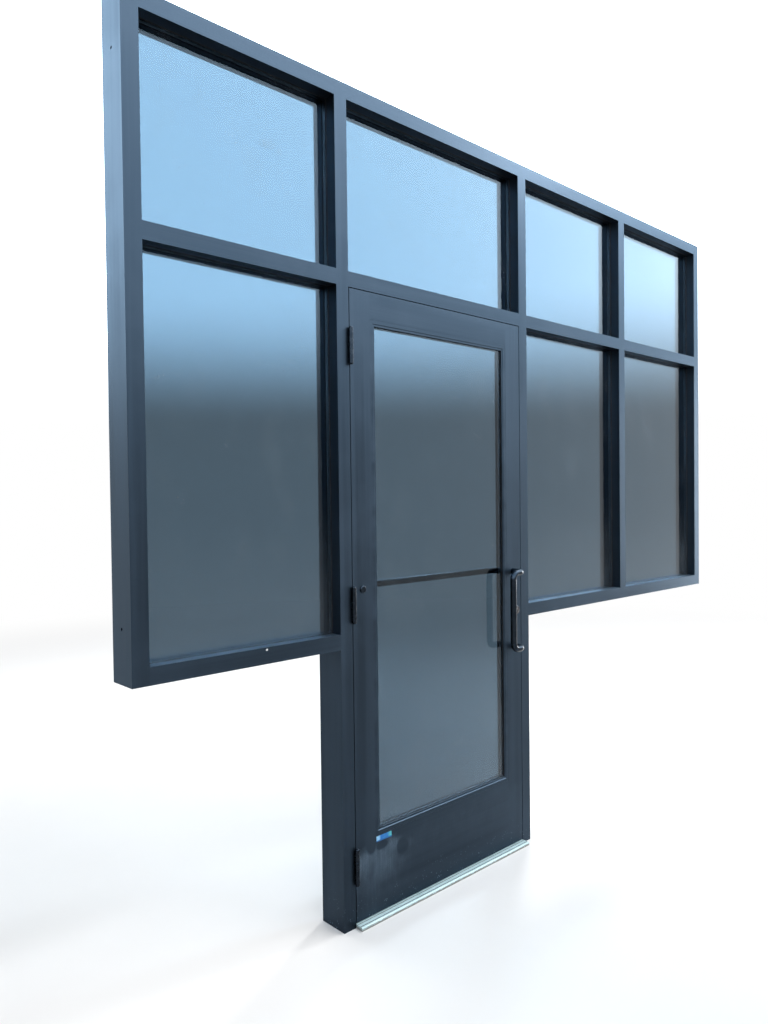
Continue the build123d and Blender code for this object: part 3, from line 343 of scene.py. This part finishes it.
def bright_metal(name, dark, light, rough):
    """Bare or plated metal with rolling or brushing lines along Z."""
    n = Finish(name)
    lines = n.noise(streaked_scale("Z", 6.0, 1600.0), detail=2.0)
    broad = n.noise(streaked_scale("Z", 2.0, 60.0))
    stain = n.noise(38.0, detail=5.0, rough=0.65)
    tone = n.blend(n.ramp(broad, 0.3, 0.7), dark, light)
    tone = n.blend(n.ramp(lines, 0.35, 0.75, 0.0, 0.35), tone, light)
    grime = n.ramp(stain, 0.5, 0.72, 0.0, 0.35)
    gloss = n.ramp(lines, 0.3, 0.8, rough, rough + 0.10)
    n.shade({
        "Base Color": n.blend(grime, tone, GRIME),
        "Metallic": 1.0,
        "Roughness": n.plus(gloss, n.times(grime, 0.5)),
    })
    n.bump(lines, 0.00003)
    return n.material


def threshold_metal(name):
    """Mill aluminium: dirt and painted shade in every second flute, and cement splashed over the
    lower front face.
    """
    n = Finish(name)
    z = n.axis("Z")
    up = n.axis("Z", "Normal")
    lines = n.noise((5.0, 1300.0, 1300.0), detail=2.0)
    patches = n.noise((9.0, 60.0, 60.0), detail=5.0, rough=0.65)
    tone = n.blend(n.ramp(patches, 0.3, 0.7), *MILL)
    tone = n.blend(n.ramp(lines, 0.35, 0.75, 0.0, 0.3), tone, MILL_LINES)
    # Dirt and painted shade: near-black in the groove of every second flute.
    turns = n.times(n.minus(n.axis("Y"), FLUTE_AT), math.tau / FLUTE_PAIR)
    dirt_and_shade_flutes = n.ramp(n.maths("COSINE", turns), 0.35, 0.75)
    groove = n.times(n.ramp(z, *FLUTE_TOP, 1.0, 0.0), dirt_and_shade_flutes)
    groove = n.times(groove, n.ramp(z, *FLUTE_FLOOR))
    tone = n.blend(groove, tone, FLUTE_DIRT_AND_SHADE)
    ragged = n.plus(z, n.ramp(n.noise((45.0, 45.0, 300.0)), 0.3, 0.7, -0.003, 0.003))
    upright = n.ramp(up, 0.3, 0.6, 1.0, 0.0)
    splashed = n.times(n.ramp(ragged, *CEMENT_TOP, 0.9, 0.0), upright)
    gloss = n.ramp(lines, 0.3, 0.8, 0.50, 0.58)
    n.shade({
        "Base Color": n.blend(splashed, tone, CEMENT),
        "Metallic": 0.12,
        "Specular IOR Level": 0.2,
        "Roughness": n.plus(gloss, n.times(n.maths("MAXIMUM", groove, splashed), 0.3)),
    })
    n.bump(lines, 0.00003)
    return n.material


def hardware(name, dark, light, rough):
    """Dark plated hardware: an even film with fine orange peel and rubbed spots."""
    n = Finish(name)
    peel = n.noise(900.0, detail=2.0)
    rub = n.noise(55.0, detail=5.0, rough=0.62)
    gloss = n.ramp(rub, 0.35, 0.7, rough, rough + 0.12)
    n.shade({
        "Base Color": n.blend(n.ramp(rub, 0.38, 0.68), dark, light),
        "Metallic": 1.0,
        "Roughness": n.plus(gloss, n.ramp(peel, 0.3, 0.7, 0.0, 0.04)),
    })
    n.bump(peel, 0.00003)
    return n.material


def rubber(name):
    """Black glazing rubber, matt, with a slight bloom."""
    n = Finish(name)
    grain = n.noise(700.0, detail=3.0)
    bloom = n.noise(22.0)
    n.shade({
        "Base Color": n.blend(n.ramp(bloom, 0.4, 0.7), *RUBBER),
        "Roughness": n.ramp(grain, 0.3, 0.7, 0.62, 0.8),
        "Specular IOR Level": 0.3,
    })
    n.bump(grain, 0.00005)
    return n.material


def glass(name, haze_from):
    """Tinted clear glass with a faint film of specks and wipe marks, denser low down."""
    n = Finish(name)
    n.shade({
        "Base Color": PANE_TINT,
        "Transmission Weight": 1.0,
        "IOR": 1.45,
        "Roughness": 0.0,
        "Specular Tint": PANE_MIRROR,
    })
    wiping = n.noise((6.0, 6.0, 3.0), detail=6.0, rough=0.65, distortion=0.4)
    wipes = n.ramp(wiping, 0.50, 0.80, 0.0, 0.025)
    drops = n.ramp(n.specks(95.0), 0.10, 0.16, 1.0, 0.0)
    rare = n.ramp(n.noise(11.0, detail=2.0), 0.56, 0.7)
    film = n.plus(wipes, n.times(n.times(drops, rare), 0.35))
    low = n.ramp(n.axis("Z"), haze_from, haze_from + HAZE_FADE, 0.045, 0.0)
    film = n.plus(film, n.times(low, n.ramp(n.noise(60.0), 0.2, 0.8, 0.4, 1.0)))
    touch = n.noise(60.0, detail=5.0, rough=0.7)
    for smudge in SMUDGES:
        inside = n.minus(1.0, rubbed_patch(n, *smudge, n.ramp(touch, 0.3, 0.7, -0.4, 0.4)))
        film = n.plus(film, n.times(inside, n.ramp(touch, 0.42, 0.68, 0.02, 0.14)))
    dust = n.add("BsdfDiffuse", {"Color": PANE_FILM})
    dusted = n.blend_shaders(film, n.shader.outputs[0], dust.outputs[0])
    # Shadow rays pass straight through, so that the lamps light what stands behind a pane.
    clear = n.add("BsdfTransparent", {"Color": PANE_SHADOW})
    path = n.add("LightPath", {})
    lit = n.blend_shaders(path.outputs["Is Shadow Ray"], dusted, clear.outputs[0])
    n.join(lit, n.output.inputs["Surface"])
    return n.material


def label_film():
    """Film with no words: printed pale at the left, then blue, and teal at the right, darker blue
    along the lower edge.
    """
    n = Finish("label_film")
    x = n.axis("X")
    z = n.axis("Z")
    cloud = n.noise(90.0, detail=3.0)
    tone = n.blend(n.ramp(x, *LABEL_PALE_END), LABEL_PALE, LABEL_BLUE)
    tone = n.blend(n.ramp(x, *LABEL_TEAL_START), tone, LABEL_TEAL)
    tone = n.blend(n.ramp(cloud, 0.4, 0.7, 0.0, 0.4), tone, LABEL_MOTTLE)
    edge = n.ramp(n.plus(z, n.times(cloud, 0.004)), *LABEL_EDGE_TOP, 1.0, 0.0)
    n.shade({
        "Base Color": n.blend(edge, tone, LABEL_LOWER_EDGE),
        "Roughness": n.ramp(cloud, 0.3, 0.7, 0.40, 0.55),
        "Specular IOR Level": 0.25,
    })
    n.bump(cloud, 0.00008)
    return n.material


def matt(name, dark, light, rough):
    """Dry matt stuff with fine pores: paint drops and dirt."""
    n = Finish(name)
    pores = n.noise(1400.0, detail=3.0)
    n.shade({
        "Base Color": n.blend(n.ramp(pores, 0.3, 0.7), dark, light),
        "Roughness": n.ramp(pores, 0.3, 0.7, rough - 0.1, rough + 0.1),
    })
    n.bump(pores, 0.0001)
    return n.material


def give(material, *nodes):
    """Puts one material on CAD nodes."""
    for node in nodes:
        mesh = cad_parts[node].data
        mesh.materials.clear()
        mesh.materials.append(material)


def dress_nodes():
    """Gives each CAD node its finish, and returns the finishes that the screws share."""
    upright = dark_aluminium("dark_aluminium_upright", "Z")
    give(upright, "left_jamb", "hinge_mullion", "lock_mullion", "window_mullion", "right_jamb")
    give(upright, "pocket_fillers", "door_stops")
    level = dark_aluminium("dark_aluminium_level", "X")
    give(level, "left_head", "door_head", "middle_head", "right_head")
    give(level, "left_transom_bar", "door_header", "middle_transom_bar", "right_transom_bar")
    give(level, "left_sill", "middle_sill", "right_sill")
    door_upright = dark_aluminium("dark_aluminium_door_upright", "Z", dusty_door=True)
    give(door_upright, "hinge_stile", "lock_stile")
    door_level = dark_aluminium("dark_aluminium_door_level", "X", dusty_door=True)
    give(door_level, "top_rail", "bottom_rail", "outer_glass_stops", "inner_glass_stops")
    give(threshold_metal("mill_aluminium"), "threshold")

    clear = glass("clear_glass", WINDOW_HAZE_FROM)
    give(clear, "left_window_glass", "middle_window_glass", "right_window_glass")
    give(clear, "left_transom_glass", "door_transom_glass")
    give(clear, "middle_transom_glass", "right_transom_glass")
    give(glass("clear_door_glass", DOOR_HAZE_FROM), "door_glass")
    spacer = bright_metal("spacer_aluminium", *SPACER, 0.38)
    give(spacer, "glass_spacers", "door_glass_spacer")
    black = rubber("black_rubber")
    give(black, "glazing_gaskets", "door_gaskets", "setting_blocks", "door_setting_blocks")
    give(black, "weatherstrips", "door_sweep")

    hinge = hardware("hinge_steel", *HINGE_STEEL, 0.18)
    for place in ("top", "middle", "bottom"):
        give(hinge, f"{place}_hinge_frame_leaf", f"{place}_hinge_door_leaf")
    give(hinge, "hinge_pins")
    handle = hardware("handle_metal", *HANDLE_METAL, 0.11)
    give(handle, "outside_pull", "push_bar", "handle_bolts")
    cylinder = hardware("cylinder_metal", *CYLINDER_METAL, 0.16)
    give(cylinder, "lock_cylinders", "thumbturn", "key_plug")
    lock = bright_metal("lock_steel", *LOCK_STEEL, 0.30)
    give(lock, "strike_plate", "lock_case", "deadbolt")
    zinc = bright_metal("zinc_steel", *ZINC, 0.34)
    give(zinc, "jamb_hinge_plates", "door_hinge_plates", "tie_rods")
    return hinge, lock, zinc


def make_piece(name, mesh, material, body):
    """Makes an object of a finished bmesh, and rides it on a body."""
    data = bpy.data.meshes.new(name)
    mesh.to_mesh(data)
    mesh.free()
    data.materials.append(material)
    piece = bpy.data.objects.new(name, data)
    bpy.context.scene.collection.objects.link(piece)
    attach(piece, body)


def facing(outward):
    """The turn from Z to a direction."""
    return Vector(outward).to_track_quat("Z", "Y").to_matrix().to_4x4()


def add_dome(mesh, place, rings, turns, point):
    """Adds a closed low dome. point gives X, Y and Z for a share of the way out and a turn."""
    centre = mesh.verts.new(place @ Vector(point(0.0, 0)))
    rows = [
        [mesh.verts.new(place @ Vector(point(ring / rings, turn))) for turn in range(turns)]
        for ring in range(1, rings + 1)
    ]
    for turn in range(turns):
        mesh.faces.new((centre, rows[0][turn], rows[0][(turn + 1) % turns]))
    for inner, outer in zip(rows, rows[1:]):
        for turn in range(turns):
            after = (turn + 1) % turns
            mesh.faces.new((inner[turn], outer[turn], outer[after], inner[after]))
    mesh.faces.new(list(reversed(rows[-1])))


def screw_heads(name, spots, outward, radius, height, material, body, slot):
    """Round screw heads with a cross recess, one at each spot, all facing outward."""
    rings, turns = 9, 48
    recess_reach, half_slit, recess_depth = 0.62, 0.11 * radius, 0.55 * height
    first_spin, next_spin = 0.7, 2.3

    def point(share, turn):
        angle = math.tau * turn / turns
        x, y = radius * share * math.cos(angle), radius * share * math.sin(angle)
        z = height * math.sqrt(max(0.0, 1.0 - share**4))
        if share < recess_reach and (abs(x) < half_slit or abs(y) < half_slit):
            z -= recess_depth
        return x, y, z

    mesh = bmesh.new()
    for index, spot in enumerate(spots):
        spin = Matrix.Rotation(first_spin + next_spin * index, 4, "Z")
        add_dome(mesh, Matrix.Translation(spot) @ facing(outward) @ spin, rings, turns, point)
    make_piece(name, mesh, material, body)


def lump(name, spot, half_width, half_height, rise, ragged, material, body, slot):
    """Small low dome with a ragged outline, such as a paint drop, on a face that looks to -Y."""
    rings, turns = 6, 28
    shape = random.Random(name)
    outline = [1.0 + ragged * (shape.random() - 0.5) for _ in range(turns)]
    outline = [(outline[i - 1] + outline[i] + outline[(i + 1) % turns]) / 3 for i in range(turns)]

    def point(share, turn):
        angle = math.tau * turn / turns
        reach = share * outline[turn]
        x, y = half_width * reach * math.cos(angle), half_height * reach * math.sin(angle)
        return x, y, rise * (1.0 - share**3)

    mesh = bmesh.new()
    add_dome(mesh, Matrix.Translation(spot) @ facing((0, -1, 0)), rings, turns, point)
    make_piece(name, mesh, material, body)


def plaque(name, low, high, y_face, thick, curl, material, body, slot):
    """Thin label on an outer face, between low and high X and Z, its lower right corner lifted."""
    columns, rows = 36, 12
    mesh = bmesh.new()

    def layer(offset):
        grid = []
        for row in range(rows + 1):
            line = []
            for column in range(columns + 1):
                across, up = column / columns, row / rows
                # 1 at the lower right corner, and 0 from a slanted line across the label on.
                reach = max(0.0, across * 1.6 + (1.0 - up) * 0.7 - 1.55) / 0.75
                lift = curl * reach * reach
                x = low[0] + (high[0] - low[0]) * across
                z = low[1] + (high[1] - low[1]) * up
                line.append(mesh.verts.new((x, y_face - lift - offset, z)))
            grid.append(line)
        return grid

    front, rear = layer(thick), layer(0.0)
    for row in range(rows):
        for column in range(columns):
            for grid, flip in ((front, False), (rear, True)):
                lower, upper = grid[row], grid[row + 1]
                corners = [lower[column], lower[column + 1], upper[column + 1], upper[column]]
                mesh.faces.new(reversed(corners) if flip else corners)
    rim = [(0, column) for column in range(columns)] + [(row, columns) for row in range(rows)]
    rim += [(rows, column) for column in range(columns, 0, -1)]
    rim += [(row, 0) for row in range(rows, 0, -1)]
    for here, after in zip(rim, rim[1:] + rim[:1]):
        a, b = front[here[0]][here[1]], front[after[0]][after[1]]
        c, d = rear[after[0]][after[1]], rear[here[0]][here[1]]
        mesh.faces.new((b, a, d, c))
    make_piece(name, mesh, material, body)


def add_screws(hinge, lock, zinc):
    """Heads of the screws in the hinge leaves, the face plate, the strike and the threshold."""
    for body, outward in (("frame", (1, 0, 0)), ("door", (-1, 0, 0))):
        spots = []
        for place in ("bottom", "middle", "top"):
            low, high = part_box(f"{place}_hinge_{body}_leaf")
            for up, back in HINGE_SCREWS:
                y, middle = high.y - HINGE_ROW + back, (low.z + high.z) / 2
                spots.append((HINGE_FACE[body], y, middle + up))
        name = f"{body}_hinge_screws"
        screw_heads(name, spots, outward, *HINGE_HEAD, hinge, body, "hinge_steel")
    low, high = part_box("lock_case")
    y = (low.y + high.y) / 2
    ends = [(high.x, y, low.z + FACE_PLATE_END), (high.x, y, high.z - FACE_PLATE_END)]
    screw_heads("face_plate_screws", ends, (1, 0, 0), *LOCK_HEAD, lock, "door", "lock_steel")
    low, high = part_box("strike_plate")
    y = (low.y + high.y) / 2
    ends = [(low.x, y, low.z + STRIKE_END), (low.x, y, high.z - STRIKE_END)]
    screw_heads("strike_screws", ends, (-1, 0, 0), *LOCK_HEAD, lock, "frame", "lock_steel")
    low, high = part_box("threshold")
    y, z = (low.y + high.y) / 2, high.z - FLOOR_SCREW_SINK
    spots = [(x, y, z) for x in FLOOR_SCREWS_X]
    screw_heads("threshold_screws", spots, (0, 0, 1), *FLOOR_HEAD, zinc, "frame", "zinc_steel")


def add_marks():
    """The label at the lower hinge corner, a paint drop on the left sill and a spot on a stile."""
    film, slot = label_film(), "dark_aluminium"
    corners, face = (LABEL_LOW, LABEL_HIGH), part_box("bottom_rail")[0].y
    plaque("rail_label", *corners, face, LABEL_THICK, LABEL_CURL, film, "door", slot)
    paint = matt("dried_paint", *DRIED_PAINT, 0.7)
    spot = (DROP_X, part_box("left_sill")[0].y, DROP_Z)
    lump("paint_drop", spot, *DROP_SIZE, 0.8, paint, "frame", slot)
    dirt = matt("dark_spot", *SPOT_DIRT, 0.75)
    spot = (SPOT_X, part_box("lock_stile")[0].y, SPOT_Z)
    lump("stile_spot", spot, *SPOT_SIZE, 0.3, dirt, "door", slot)


def add_camera():
    """The photograph's viewpoint."""
    data = bpy.data.cameras.new("camera")
    data.lens = CAMERA_LENS
    data.sensor_width = CAMERA_SENSOR
    data.sensor_fit = "AUTO"
    camera = bpy.data.objects.new("camera", data)
    bpy.context.scene.collection.objects.link(camera)
    turn = Matrix.Rotation(math.radians(CAMERA_TURN), 4, "Z")
    tilt = Matrix.Rotation(math.radians(CAMERA_TILT), 4, "X")
    roll = Matrix.Rotation(math.radians(CAMERA_ROLL), 4, "Z")
    camera.matrix_world = Matrix.Translation(CAMERA_PLACE) @ turn @ tilt @ roll
    bpy.context.scene.camera = camera


def add_lamps():
    """Soft studio lamps."""
    for name, place, target, width, height, watts, mirrored in LAMPS:
        data = bpy.data.lights.new(name, "AREA")
        data.shape = "RECTANGLE"
        data.size = width
        data.size_y = height
        data.energy = watts
        lamp = bpy.data.objects.new(name, data)
        bpy.context.scene.collection.objects.link(lamp)
        lamp.location = place
        aim = Vector(target) - Vector(place)
        lamp.rotation_euler = aim.to_track_quat("-Z", "Y").to_euler()
        lamp.visible_camera = False
        lamp.visible_transmission = False
        lamp.visible_glossy = mirrored


def add_world():
    """White behind the object and brighter overhead, apart from the even light on the object."""
    world = bpy.data.worlds.new("studio")
    bpy.context.scene.world = world
    n = Nodes(world)
    rise = n.ramp(n.axis("Z", "Generated"), DOME_LOW, DOME_HIGH)
    shown = n.add("Background", {"Color": n.blend(rise, WHITE, DOME), "Strength": 1.0})
    light = n.add("Background", {"Color": AMBIENT_TINT, "Strength": AMBIENT})
    both = n.blend_shaders(n.seen_by_eye(), light.outputs[0], shown.outputs[0])
    n.add("OutputWorld", {"Surface": both})


def add_floor():
    """A pale floor that fades to white far from the object."""
    mesh = bpy.data.meshes.new("floor")
    signs = (-1.0, -1.0), (1.0, -1.0), (1.0, 1.0), (-1.0, 1.0)
    corners = [(x * FLOOR_REACH, y * FLOOR_REACH, 0.0) for x, y in signs]
    mesh.from_pydata(corners, [], [(0, 1, 2, 3)])
    n = Finish("studio_floor")
    n.shade({
        "Base Color": n.blend(n.noise(2.0), *FLOOR_TONES),
        "Roughness": 0.9,
        "Specular IOR Level": 0.1,
    })
    white = n.add("Emission", {"Color": WHITE})
    length = n.add("VectorMath", {0: n.where.outputs["Object"]}, operation="LENGTH")
    share = n.times(n.ramp(length.outputs["Value"], *FLOOR_FADE), n.seen_by_eye())
    faded = n.blend_shaders(share, n.shader.outputs[0], white.outputs[0])
    n.join(faded, n.output.inputs["Surface"])
    mesh.materials.append(n.material)
    floor = bpy.data.objects.new("floor", mesh)
    bpy.context.scene.collection.objects.link(floor)


bpy.context.scene.view_settings.view_transform = "Standard"
add_screws(*dress_nodes())
add_marks()
add_camera()
add_lamps()
add_world()
add_floor()
